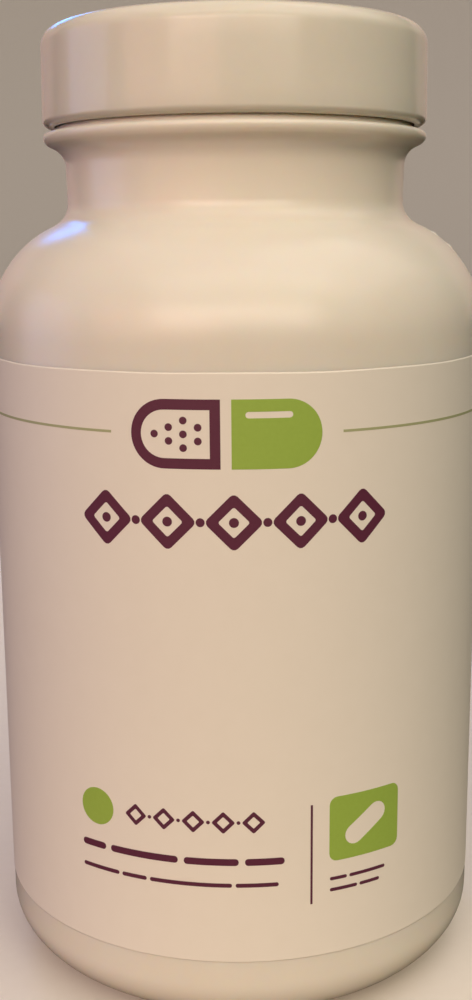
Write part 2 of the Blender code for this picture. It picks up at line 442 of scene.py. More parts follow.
class Outline:
    """A line drawn in the radius-height plane, then turned about Z into a skin."""

    def __init__(self, radius: float, height: float) -> None:
        """Puts the pen down.

        Args:
            radius: Distance from the axis.
            height: Height above the base.
        """
        self.skin = bmesh.new()
        self.tip = self.skin.verts.new((radius, 0.0, height))
        self.soft_corners: list[tuple[bmesh.types.BMVert, float]] = []

    def line(self, radius: float, height: float, parts: int = 1, soft: float = 0.0) -> Outline:
        """Draws straight to a point.

        Args:
            radius: The point's distance from the axis.
            height: The point's height.
            parts: How many equal stretches the line has.
            soft: How far back from the point its corner begins to round, or 0 for a sharp one.

        Returns:
            The outline itself, so that strokes follow each other.
        """
        start, end = self.tip.co.copy(), Vector((radius, 0.0, height))
        for part in range(1, parts + 1):
            self.tip = bmesh.ops.extrude_vert_indiv(self.skin, verts=[self.tip])["verts"][0]
            self.tip.co = start.lerp(end, part / parts)
        if soft:
            self.soft_corners.append((self.tip, soft))
        return self

    def curve(
        self,
        centre: tuple[float, float],
        turn: float,
        steps: int,
        stretch: tuple[float, float] = (1.0, 1.0),
    ) -> Outline:
        """Draws an arc from the pen's place.

        Args:
            centre: Radius and height of the arc's centre.
            turn: Degrees to go round it, clockwise where positive.
            steps: How many stretches the arc has.
            stretch: How far the arc is stretched from a circle, along the radius and the height.

        Returns:
            The outline itself.
        """
        middle = Vector((centre[0], 0.0, centre[1]))
        before = set(self.skin.verts)
        spun = bmesh.ops.spin(
            self.skin,
            geom=[self.tip],
            cent=middle,
            axis=(0, 1, 0),
            angle=math.radians(turn),
            steps=steps,
        )
        drawn = [point for point in self.skin.verts if point not in before]
        bmesh.ops.scale(
            self.skin,
            vec=(stretch[0], 1.0, stretch[1]),
            space=Matrix.Translation(-middle),
            verts=drawn,
        )
        self.tip = spun["geom_last"][0]
        return self

    def revolve(self, sides: int) -> bmesh.types.BMesh:
        """Rounds the soft corners and turns the line once round Z.

        Args:
            sides: How many facets go round.

        Returns:
            The closed skin, facing outwards.
        """
        skin = self.skin
        for corner, reach in self.soft_corners:
            bmesh.ops.bevel(
                skin,
                geom=[corner],
                offset=reach,
                segments=4,
                profile=0.5,
                affect="VERTICES",
                material=-1,
            )
        bmesh.ops.spin(
            skin,
            geom=skin.verts[:] + skin.edges[:],
            cent=(0, 0, 0),
            axis=(0, 0, 1),
            angle=FULL_TURN,
            steps=sides,
            use_merge=True,
        )
        bmesh.ops.remove_doubles(skin, verts=skin.verts[:], dist=WELD)
        bmesh.ops.recalc_face_normals(skin, faces=skin.faces[:])
        return skin


class RibSide(Enum):
    """Which side of a round wall a rib stands on: 1 outwards, -1 inwards."""

    OUTSIDE = 1
    INSIDE = -1


@dataclass
class ThreadRib:
    """A helical rib on a round wall, its root sunk into the wall and its ends fading into it."""

    wall: float
    side: RibSide
    root_width: float
    crest_width: float
    turns: float
    first_turn: float
    first_height: float  # of the middle of its lower end
    pitch: float
    depth: float = 1.05 * MM
    crest_round: float = 0.28 * MM
    sunk: float = 0.3 * MM  # how far the root goes into the wall
    buried: float = 0.1 * MM  # how far under the wall the crest ends
    fade: float = 0.08  # turns over which an end rises out of the wall
    steps_per_turn: int = 120

    def mesh(self) -> bmesh.types.BMesh:
        """Sweeps the rib's section along its helix.

        Returns:
            The closed rib.
        """
        rib = bmesh.new()
        outward = self.side.value
        flank = (self.root_width - self.crest_width) / 2 / self.depth
        root_half = self.root_width / 2 + flank * self.sunk
        section = (
            (-self.sunk, -root_half),
            (self.depth, -self.crest_width / 2),
            (self.depth, self.crest_width / 2),
            (-self.sunk, root_half),
        )
        corners = [
            rib.verts.new((self.wall + outward * out, 0.0, self.first_height + up))
            for out, up in section
        ]
        for first, second in zip(corners, corners[1:] + corners[:1]):
            rib.edges.new((first, second))
        bmesh.ops.bevel(
            rib,
            geom=corners[1:3],
            offset=self.crest_round,
            segments=3,
            profile=0.5,
            affect="VERTICES",
            material=-1,
        )
        turn = Matrix.Rotation(FULL_TURN * self.first_turn, 3, "Z")
        bmesh.ops.rotate(rib, verts=rib.verts[:], matrix=turn, cent=(0, 0, 0))
        steps = round(self.turns * self.steps_per_turn)
        bmesh.ops.spin(
            rib,
            geom=rib.verts[:] + rib.edges[:],
            cent=(0, 0, 0),
            axis=(0, 0, 1),
            dvec=(0, 0, self.pitch / self.steps_per_turn),
            angle=FULL_TURN * steps / self.steps_per_turn,
            steps=steps,
        )
        bmesh.ops.holes_fill(rib, edges=rib.edges[:], sides=0)
        self.fade_ends(rib)
        bmesh.ops.recalc_face_normals(rib, faces=rib.faces[:])
        return rib

    def fade_ends(self, rib: bmesh.types.BMesh) -> None:
        """Lowers the crest towards both ends, until it is just under the wall.

        Args:
            rib: The swept rib.
        """
        for point in rib.verts:
            turned = (math.atan2(point.co.y, point.co.x) / FULL_TURN - self.first_turn) % 1.0
            turned += round((point.co.z - self.first_height) / self.pitch - turned)
            risen = max(0.0, min(1.0, turned / self.fade, (self.turns - turned) / self.fade))
            risen = risen * risen * (3 - 2 * risen)  # eased in and out
            radius = point.co.xy.length
            out = self.side.value * (radius - self.wall)
            if out > 0:
                lowered = self.wall + self.side.value * (out * risen - self.buried * (1 - risen))
                point.co.xy = point.co.xy * (lowered / radius)


def deliver(
    skin: bmesh.types.BMesh,
    name: str,
    finish: Finish,
    body: str,
    replaces: str | None = None,
    sharp: float = 35.0,
) -> bpy.types.Object:
    """Turns a finished bmesh into a piece of the object and hands it to the frame.

    Args:
        skin: The piece, with its place in its mesh.
        name: The piece's name.
        finish: What it is made of.
        body: The body that it moves with.
        replaces: The CAD node that it stands for, if any.
        sharp: Degrees past which an edge is left sharp.

    Returns:
        The new object.
    """
    mesh = bpy.data.meshes.new(name)
    skin.to_mesh(mesh)
    skin.free()
    mesh.shade_smooth()
    mesh.set_sharp_from_angle(angle=math.radians(sharp))
    mesh.materials.append(bpy.data.materials.get(finish.name) or finish.material())
    piece = bpy.data.objects.new(name, mesh)
    bpy.context.scene.collection.objects.link(piece)
    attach(piece, body)
    if replaces:
        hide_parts(replaces)
    mesh.calc_loop_triangles()
    log.info("%s: %d triangles, on %s", name, len(mesh.loop_triangles), body)
    return piece


# -------------------------------------------------------------------------------------------------
# The bottle


@dataclass
class Bottle:
    """The bottle's body: a wide-mouth packer shape with a bead under its threaded finish."""

    radius: float = 31.25 * MM
    lip: float = 115.8 * MM  # height of the mouth's rim
    wall: float = 1.2 * MM
    shoulder_curve: float = 13.94 * MM
    shoulder_start: float = 82.5 * MM
    heel_reach: float = 10.5 * MM
    heel_height: float = 7.6 * MM
    ring_width: float = 2.4 * MM
    ring_soft: float = 0.25 * MM  # rounding of the ring's inner edge
    ring_inside_soft: float = 0.3 * MM
    push_up: float = 1.8 * MM  # how far the middle of the base is raised
    push_up_step: float = 1.1 * MM
    push_up_soft: float = 0.4 * MM
    neck_radius: float = 21.11 * MM
    neck_fillet: float = 3.1 * MM
    bead_radius: float = 23.87 * MM
    bead_top: float = BEAD_TOP
    bead_edge: float = 0.50 * MM  # rounding of its upper edge
    bead_belly: float = 1.05 * MM  # radius that it turns under with
    bead_tilt: float = 65.0  # degrees that its underside leans from upright
    bead_fillet: float = 2.60 * MM
    land_rise: float = 0.80 * MM  # how far the land inside the cap's rim stands above the bead
    land_radius: float = 22.10 * MM
    land_foot: float = 22.60 * MM
    land_soft: float = 0.1 * MM
    neck_top: float = 21.21 * MM  # radius under the bead, from which the neck narrows a little
    mouth_radius: float = 18.6 * MM
    mouth_fillet: float = 4.0 * MM
    finish_radius: float = 21.03 * MM
    lip_round: float = 0.4 * MM
    finish_fillet: float = 0.3 * MM
    thread_root: float = 2.2 * MM
    thread_crest: float = 1.0 * MM
    thread_turns: float = 1.40
    sides: int = 192
    parting_turn: float = -9.0  # degrees from +X to the mould's parting line
    parting_width: float = 0.30 * MM
    parting_rise: float = 0.045 * MM
    parting_limit: float = 0.25  # share that the wall faces sideways where the line stops
    nick_rise: float = 0.16 * MM
    nick_heights: tuple[float, float] = (94.0 * MM, 92.4 * MM)

    @classmethod
    def from_frame(cls) -> Bottle:
        """Takes the outside sizes from the CAD node."""
        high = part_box("bottle")[1]
        return cls(radius=high.x, lip=high.z)

    def tangent(self, wall_radius: float, fillet: float, inset: float) -> tuple[float, float]:
        """Finds where the fillet under the neck runs into the shoulder's curve.

        Args:
            wall_radius: Radius of the neck's wall.
            fillet: Radius of the fillet under it.
            inset: How far inside the outer surface this is.

        Returns:
            The meeting point's angle above level, in degrees, and the fillet centre's height.
        """
        centre = self.radius - self.shoulder_curve
        reach = self.shoulder_curve - inset + fillet
        angle = math.acos((wall_radius + fillet - centre) / reach)
        return math.degrees(angle), self.shoulder_start + reach * math.sin(angle)

    def outline(self) -> Outline:
        """Draws the whole wall: up the inside from the floor, over the lip and down the outside.

        Returns:
            The finished line.
        """
        ring_inner = self.radius - self.heel_reach - self.ring_width
        heel = (self.radius - self.heel_reach, self.heel_height)
        shoulder = (self.radius - self.shoulder_curve, self.shoulder_start)
        inner_meet, inner_height = self.tangent(self.mouth_radius, self.mouth_fillet, self.wall)
        outer_meet, outer_height = self.tangent(self.neck_radius, self.neck_fillet, 0.0)
        bead_top = (self.bead_radius - self.bead_edge, self.bead_top - self.bead_edge)
        bead = (self.bead_radius - self.bead_belly, bead_top[1])
        tilt = math.radians(self.bead_tilt)
        turned_under = (self.bead_belly + self.bead_fillet) * (1 - math.cos(tilt))
        slope = (self.bead_radius - self.neck_top - turned_under) / math.sin(tilt)
        under = (
            self.neck_top + self.bead_fillet * (1 - math.cos(tilt)),
            bead[1] - self.bead_belly * math.sin(tilt) - slope * math.cos(tilt),
        )
        hollow = (self.neck_top + self.bead_fillet, under[1] - self.bead_fillet * math.sin(tilt))
        inner_heel = (self.heel_reach - self.wall) / (self.heel_height - self.wall)
        lip_bend = self.lip - self.lip_round
        land = self.bead_top + self.land_rise
        step_inner = ring_inner - self.push_up_step

        pen = Outline(0.0, self.push_up + self.wall)
        pen.line(step_inner - self.wall, self.push_up_step + self.wall, soft=self.push_up_soft)
        pen.line(ring_inner - self.wall / 2, self.wall, soft=self.ring_inside_soft)
        pen.line(heel[0], self.wall).curve(heel, -90, 10, stretch=(inner_heel, 1.0))
        pen.line(self.radius - self.wall, self.shoulder_start, parts=6)
        pen.curve(shoulder, -inner_meet, 14)
        pen.curve((self.mouth_radius + self.mouth_fillet, inner_height), inner_meet, 6)
        pen.line(self.mouth_radius, lip_bend, parts=3)
        pen.curve((self.mouth_radius + self.lip_round, lip_bend), 90, 4)
        pen.line(self.finish_radius - self.lip_round, self.lip)
        pen.curve((self.finish_radius - self.lip_round, lip_bend), 90, 4)
        pen.line(self.finish_radius, land + self.finish_fillet, parts=3)
        pen.curve((self.finish_radius + self.finish_fillet, land + self.finish_fillet), -90, 4)
        pen.line(self.land_radius, land, soft=self.land_soft)
        pen.line(self.land_foot, self.bead_top, soft=self.land_soft)
        pen.line(bead_top[0], self.bead_top)
        pen.curve(bead_top, 90, 8).curve(bead, self.bead_tilt, 7).line(*under)
        pen.curve(hollow, -self.bead_tilt, 9)
        pen.line(self.neck_radius, outer_height, parts=2)
        pen.curve((self.neck_radius + self.neck_fillet, outer_height), -outer_meet, 9)
        pen.curve(shoulder, outer_meet, 26).line(self.radius, self.heel_height, parts=12)
        pen.curve(heel, 90, 18, stretch=(1.0, self.heel_height / self.heel_reach))
        pen.line(ring_inner, 0.0, soft=self.ring_soft)
        pen.line(step_inner, self.push_up_step, soft=self.push_up_soft)
        return pen.line(0.0, self.push_up)

    def raise_parting_line(self, skin: bmesh.types.BMesh) -> None:
        """Raises the fine line that the mould's halves leave up both sides, with two nicks in it.

        Args:
            skin: The turned wall, with a column of points on each side of the axis.
        """
        for edge in (-self.parting_width / 2, self.parting_width / 2):
            everything = skin.verts[:] + skin.edges[:] + skin.faces[:]
            bmesh.ops.bisect_plane(
                skin, geom=everything, plane_co=(0, edge, 0), plane_no=(0, 1, 0)
            )
        skin.normal_update()
        crest = []
        for point in skin.verts:
            outwards = point.normal.x * math.copysign(1.0, point.co.x)
            on_line = abs(point.co.y) < WELD and point.co.z < self.bead_top
            if on_line and outwards > self.parting_limit:
                crest.append(point)
        for point in crest:
            point.co += point.normal * self.parting_rise
        flank = [point for point in crest if point.co.x > 0]
        for height in self.nick_heights:
            nick = min(flank, key=lambda point: abs(point.co.z - height))
            nick.co += nick.normal * self.nick_rise

    def build(self) -> None:
        """Makes the bottle's wall and the thread on its neck."""
        skin = self.outline().revolve(self.sides)
        self.raise_parting_line(skin)
        turn = Matrix.Rotation(math.radians(self.parting_turn), 3, "Z")
        bmesh.ops.rotate(skin, verts=skin.verts[:], matrix=turn, cent=(0, 0, 0))
        deliver(
            skin, "bottle_shell", WHITE_HDPE, "bottle", replaces="bottle", sharp=50
        )
        thread = ThreadRib(
            wall=self.finish_radius,
            side=RibSide.OUTSIDE,
            root_width=self.thread_root,
            crest_width=self.thread_crest,
            turns=self.thread_turns,
            first_turn=0.0,
            first_height=self.bead_top + THREAD_START,
            pitch=THREAD_PITCH,
        )
        deliver(thread.mesh(), "neck_thread", WHITE_HDPE, "bottle")


# -------------------------------------------------------------------------------------------------
# The label


class Ink(Enum):
    """The label's printing colours, by the name of the piece that each one makes."""

    GREEN = "label_print_green"
    OLIVE = "label_print_olive"
    AUBERGINE = "label_print_aubergine"


class Ends(Enum):
    """Which ends of a bar are rounded, by the sign of the corners' place along it."""

    BOTH = 0
    LEFT = -1
    RIGHT = 1


@dataclass(frozen=True)
class LozengeBand:
    """A row of open lozenges with a dot between each two of them."""

    first: float  # the first one's place along the label
    up: float
    count: int
    step: float
    side: float
    window: float  # side of the opening in each one
    corner: float
    window_corner: float
    link: float  # radius of the dots between them
    eye: float = 0.0  # radius of a dot in each opening, if there is one


@dataclass
class Label:
    """The wrap-round label: a sheet of coated paper and the inks printed on it.

    Its flat places are (across, up) in metres: across runs to the right from the middle of the
    front, along the outside of the paper, and up is the height above the base.
    """

    top: float = 79.9 * MM
    bottom: float = 10.4 * MM
    outside: float = 31.35 * MM  # over the ink
    ink_stand: float = 0.018 * MM  # how far the ink stands proud of the paper
    ink_film: float = 0.0288 * MM  # the ink's thickness, partly in the paper
    thickness: float = 0.075 * MM
    seam: float = 7.5  # degrees left open at the back
    corner: float = 2.0 * MM
    cut: float = 0.30 * MM  # width of the cut edge, drawn wider than real so that it shows
    cut_drop: float = 0.160 * MM  # how far that edge turns down, into the wall
    waver: float = 0.06 * MM  # how far the top edge strays, laid by machine on a round wall
    column: float = 1.0 * MM  # width of the strips that the flat shapes bend along
    corner_step: float = 0.25 * MM  # of the short straights that a rounded corner is made of
    rule_drop: float = 6.84 * MM  # from the top edge to the rule, which the title sits on
    rule: float = 0.29 * MM  # the rule's thickness
    rule_gap: tuple[float, float] = (-14.3 * MM, 11.9 * MM)  # the opening for the title
    rule_clear: float = 0.5 * MM  # between the rule and the sheet's ends
    margin: float = -20.0 * MM  # left edge of the print at the foot
    prints: dict[Ink, bmesh.types.BMesh] = field(default_factory=dict)

    @classmethod
    def from_frame(cls) -> Label:
        """Takes the sizes from the CAD node."""
        low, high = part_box("label")
        return cls(top=high.z, bottom=low.z, outside=high.x)

    @property
    def paper_radius(self) -> float:
        """Radius of the paper's printed face."""
        return self.outside - self.ink_stand

    @property
    def half_length(self) -> float:
        """Half of the sheet's length, from the middle of the front to the seam."""
        return self.paper_radius * math.radians(360 - self.seam) / 2

    @property
    def rule_up(self) -> float:
        """Height of the rule's middle."""
        return self.top - self.rule_drop

    def bar(
        self,
        flat: bmesh.types.BMesh,
        across: float,
        up: float,
        width: float,
        height: float,
        corner: float = 0.0,
        ends: Ends = Ends.BOTH,
        lean: float = 0.0,
    ) -> list[bmesh.types.BMVert]:
        """Lays a flat bar, with its corners rounded or not.

        Args:
            flat: The flat artwork that takes it.
            across: Its middle, along the label.
            up: Its middle's height.
            width: Its width.
            height: Its height.
            corner: Radius of its rounded corners, or 0 for sharp ones.
            ends: Which ends are rounded.
            lean: Degrees to turn it, anticlockwise.

        Returns:
            The bar's points.
        """
        before = set(flat.verts)
        place = Matrix.Translation((across, up, 0.0))
        place @= Matrix.Rotation(math.radians(lean), 4, "Z")
        size = Matrix.Diagonal((width, height, 1.0, 1.0))
        made = bmesh.ops.create_grid(
            flat, x_segments=1, y_segments=1, size=0.5, matrix=place @ size
        )["verts"]
        if corner:
            along = place.to_3x3() @ Vector((1.0, 0.0, 0.0))
            middle = Vector((across, up, 0.0))
            rounded = [
                point for point in made if ends.value * (point.co - middle).dot(along) >= 0
            ]
            reach = min(corner, 0.4999 * min(width, height))  # the corners don't quite meet
            bmesh.ops.bevel(
                flat,
                geom=rounded,
                offset=reach,
                segments=max(3, round(reach / self.corner_step)),
                profile=0.5,
                affect="VERTICES",
                material=-1,
            )
        return [point for point in flat.verts if point not in before]

    def disc(self, flat: bmesh.types.BMesh, across: float, up: float, radius: float) -> None:
        """Lays a round dot."""
        place = Matrix.Translation((across, up, 0.0))
        bmesh.ops.create_circle(flat, cap_ends=True, segments=28, radius=radius, matrix=place)

    def windowed(self, flat: bmesh.types.BMesh, outer: tuple, inner: tuple) -> None:
        """Lays a bar with another bar cut out of it as a window.

        Args:
            flat: The flat artwork that takes it.
            outer: The arguments of the bar that is laid, after flat.
            inner: The arguments of the bar that is cut out.
        """
        points = self.bar(flat, *outer) + self.bar(flat, *inner)
        edges = list({edge for point in points for edge in point.link_edges})
        faces = list({face for point in points for face in point.link_faces})
        bmesh.ops.delete(flat, geom=faces, context="FACES_ONLY")
        bmesh.ops.triangle_fill(flat, use_beauty=True, edges=edges, normal=(0, 0, 1))

    def bend(
        self, flat: bmesh.types.BMesh, radius: float, thickness: float, drop: float = 0.0
    ) -> bmesh.types.BMesh:
        """Cuts flat artwork into strips, bends it round the bottle and gives it its thickness.

        Args:
            flat: Flat shapes, facing up.
            radius: Radius of the finished outer face.
            thickness: How thick the sheet or the film is, inwards from that face.
            drop: How far the outer face goes down at its edges.

        Returns:
            The same mesh, bent.
        """
        reach = max(abs(point.co.x) for point in flat.verts)
        strips = math.ceil(reach / self.column)
        for strip in range(-strips, strips + 1):
            bmesh.ops.bisect_plane(
                flat,
                geom=flat.verts[:] + flat.edges[:] + flat.faces[:],
                dist=WELD,
                plane_co=(strip * self.column, 0, 0),
                plane_no=(1, 0, 0),
            )
        for face in flat.faces:
            if face.normal.z < 0:
                face.normal_flip()
        for point in flat.verts:
            angle = point.co.x / self.paper_radius
            out = radius - (drop if point.is_boundary else 0.0)
            point.co = (out * math.sin(angle), -out * math.cos(angle), point.co.y)
        flat.normal_update()
        bmesh.ops.solidify(flat, geom=flat.faces[:], thickness=thickness)
        return flat

    def print_bars(
        self,
        ink: Ink,
        left: float,
        top: float,
        rows: tuple[tuple[float, ...], ...],
        height: float,
        step: float = 0.0,
    ) -> None:
        """Prints rows of plain rounded bars, where small print would run.

        Args:
            ink: The printing colour.
            left: Where each row starts.
            top: Height of the first row's middle.
            rows: The lengths of the bars in each row, in millimetres.
            height: How tall a bar is, which also sets its corners and the gap after it.
            step: How far apart the rows are.
        """
        for row, lengths in enumerate(rows):
            start, up = left, top - row * step
            for length in lengths:
                width = length * MM
                self.bar(
                    self.prints[ink], start + width / 2, up, width, height, corner=height * 0.45
                )
                start += width + height * 0.85

    def print_band(self, band: LozengeBand) -> None:
        """Prints a row of open lozenges with their dots.

        Args:
            band: The row's place and sizes.
        """
        ink = self.prints[Ink.AUBERGINE]
        for place in range(band.count):
            across = band.first + place * band.step
            self.windowed(
                ink,
                (across, band.up, band.side, band.side, band.corner, Ends.BOTH, 45.0),
                (across, band.up, band.window, band.window, band.window_corner, Ends.BOTH, 45.0),
            )
            if band.eye:
                self.disc(ink, across, band.up, band.eye)
            if place < band.count - 1:
                self.disc(ink, across + band.step / 2, band.up, band.link)

    def print_rule(self) -> None:
        """Prints the thin olive rule round the label, open at the front for the title."""
        end = self.half_length - self.rule_clear
        for start, stop in ((-end, self.rule_gap[0]), (self.rule_gap[1], end)):
            middle, length = (start + stop) / 2, stop - start
            self.bar(self.prints[Ink.OLIVE], middle, self.rule_up, length, self.rule)

    def print_title(self) -> None:
        """Prints a capsule on the rule's line, half of it clear with its grains, over lozenges."""
        aubergine, up = self.prints[Ink.AUBERGINE], self.rule_up
        middle, half, gap, line = -1.2 * MM, 10.6 * MM, 0.6 * MM, 1.15 * MM
        long, tall = half - gap, 7.6 * MM
        clear, solid = middle - (half + gap) / 2, middle + (half + gap) / 2
        self.windowed(
            aubergine,
            (clear, up, long, tall, tall / 2, Ends.LEFT),
            (clear, up, long - 2 * line, tall - 2 * line, tall / 2 - line, Ends.LEFT),
        )
        first, step, grain = clear - 2.3 * MM, 1.62 * MM, 0.42 * MM
        columns = ((0.0,), (-0.75, 0.75), (-1.5, 0.0, 1.5), (-0.75, 0.75))
        for column, heights in enumerate(columns):
            for height in heights:
                self.disc(aubergine, first + column * step, up + height * MM, grain)
        self.windowed(
            self.prints[Ink.GREEN],
            (solid, up, long, tall, tall / 2, Ends.RIGHT),
            (solid - 0.9 * MM, up + 2.1 * MM, 5.2 * MM, 0.7 * MM, 0.35 * MM),  # its gleam
        )
        self.print_band(
            LozengeBand(
                first=-15.2 * MM,
                up=up - 9.7 * MM,
                count=5,
                step=7.4 * MM,
                side=4.7 * MM,
                window=2.5 * MM,
                corner=0.6 * MM,
                window_corner=0.25 * MM,
                link=0.50 * MM,
                eye=0.55 * MM,
            )
        )

    def print_foot(self) -> None:
        """Prints the small marks at the foot of the front: bars, a thin upright and a plate."""
        green, aubergine = self.prints[Ink.GREEN], self.prints[Ink.AUBERGINE]
        left, line_up, spot = self.margin, 28.2 * MM, 4.6 * MM
        self.bar(green, left + spot / 2, line_up, spot, spot, corner=spot / 2)
        self.print_band(
            LozengeBand(
                first=left + 7.6 * MM,
                up=line_up,
                count=5,
                step=3.5 * MM,
                side=1.95 * MM,
                window=1.05 * MM,
                corner=0.2 * MM,
                window_corner=0.1 * MM,
                link=0.22 * MM,
            )
        )
        strong, light = (3.4, 8.6, 6.4, 4.6), (5.2, 3.2, 9.8, 5.0)
        self.print_bars(Ink.AUBERGINE, left, 23.3 * MM, (strong,), 0.85 * MM)
        self.print_bars(Ink.AUBERGINE, left, 20.4 * MM, (light,), 0.50 * MM)
        self.bar(aubergine, 8.4 * MM, 23.6 * MM, 0.26 * MM, 12.4 * MM)  # the upright
        plate = (15.4 * MM, 26.4 * MM)
        self.windowed(
            green,
            (*plate, 9.6 * MM, 8.0 * MM, 1.0 * MM),
            (*plate, 6.2 * MM, 2.5 * MM, 1.25 * MM, Ends.BOTH, 35.0),
        )
        fine = ((2.2, 5.0), (3.6, 2.8))
        self.print_bars(Ink.AUBERGINE, 10.7 * MM, 20.2 * MM, fine, 0.42 * MM, 1.4 * MM)

    def print_table(self) -> None:
        """Prints an empty ruled table on the right-hand side, with bars for its entries."""
        aubergine = self.prints[Ink.AUBERGINE]
        left, width, top, step = 46.0 * MM, 44.0 * MM, 64.0 * MM, 4.4 * MM
        heavy, fine = 0.5 * MM, 0.16 * MM
        for row, rule in enumerate((heavy, heavy, fine, fine, fine, fine, fine, heavy)):
            self.bar(aubergine, left + width / 2, top - row * step, width, rule)
        indent, thick, amount, amount_at = 1.5 * MM, 0.8 * MM, 5.0 * MM, 38.5 * MM
        for row, length in enumerate((15.0, 21.0, 12.5, 18.0, 9.5, 16.0)):
            up, entry = top - (row + 1.5) * step, length * MM
            middle = left + indent + entry / 2
            self.bar(aubergine, middle, up, entry, thick, corner=thick / 2)
            self.bar(aubergine, left + amount_at, up, amount, thick, corner=thick / 2)
        heading = 18.0 * MM
        middle = left + indent + heading / 2
        self.bar(aubergine, middle, top - step / 2, heading, 1.5 * MM, corner=0.7 * MM)
        small = ((7.0, 10.5, 5.0, 12.0), (11.0, 6.0, 9.0), (5.0, 13.0))
        self.print_bars(Ink.AUBERGINE, left, 27.0 * MM, small, 0.75 * MM, 2.4 * MM)

    def print_back(self) -> None:
        """Prints the left-hand side and the back: a green band over rows of plain bars."""
        left, width, tall = -91.0 * MM, 44.0 * MM, 3.4 * MM
        green = self.prints[Ink.GREEN]
        self.bar(green, left + width / 2, 62.4 * MM, width, tall, corner=tall / 2)
        rows = (
            (8.0, 5.5, 12.0, 7.5, 5.0),
            (5.0, 11.0, 6.5, 9.0, 6.5),
            (10.0, 4.0, 7.0, 13.0),
            (6.0, 9.0, 5.0, 8.0, 9.5),
            (12.0, 7.0, 6.0),
        )
        self.print_bars(Ink.AUBERGINE, left, 56.6 * MM, rows, 0.85 * MM, 2.7 * MM)
        self.print_bars(Ink.AUBERGINE, left, 39.4 * MM, rows[1:4], 0.85 * MM, 2.7 * MM)
        self.print_bars(Ink.GREEN, left, 27.8 * MM, ((9.0, 6.0, 11.0),), 1.1 * MM)

    def build(self) -> None:
        """Makes the paper and everything printed on it."""
        paper = bmesh.new()
        middle, height = (self.top + self.bottom) / 2, self.top - self.bottom
        self.bar(paper, 0.0, middle, 2 * self.half_length, height, corner=self.corner)
        bmesh.ops.inset_region(
            paper,
            faces=paper.faces[:],
            use_boundary=True,
            use_even_offset=True,
            thickness=self.cut,
        )
        self.bend(paper, self.paper_radius, self.thickness, drop=self.cut_drop)
        for point in paper.verts:
            if point.co.z > self.top - self.corner / 2:
                turn = math.atan2(point.co.x, -point.co.y)
                waves = math.cos(5 * turn + 0.6) + math.cos(11 * turn)  # 5 and 11 to the round
                point.co.z += self.waver * (waves - 2) / 2  # down from the full height
        deliver(
            paper,
            "label_sheet",
            LABEL_PAPER,
            "bottle",
            replaces="label",
            sharp=6,
        )
        self.prints = {ink: bmesh.new() for ink in Ink}
        self.print_rule()
        self.print_title()
        self.print_foot()
        self.print_table()
        self.print_back()
        inks = {Ink.GREEN: GREEN_INK, Ink.OLIVE: OLIVE_INK, Ink.AUBERGINE: AUBERGINE_INK}
        for ink, finish in inks.items():
            film = self.bend(self.prints[ink], self.outside, self.ink_film)
            deliver(film, ink.value, finish, "bottle")


# -------------------------------------------------------------------------------------------------
# The cap and its liner


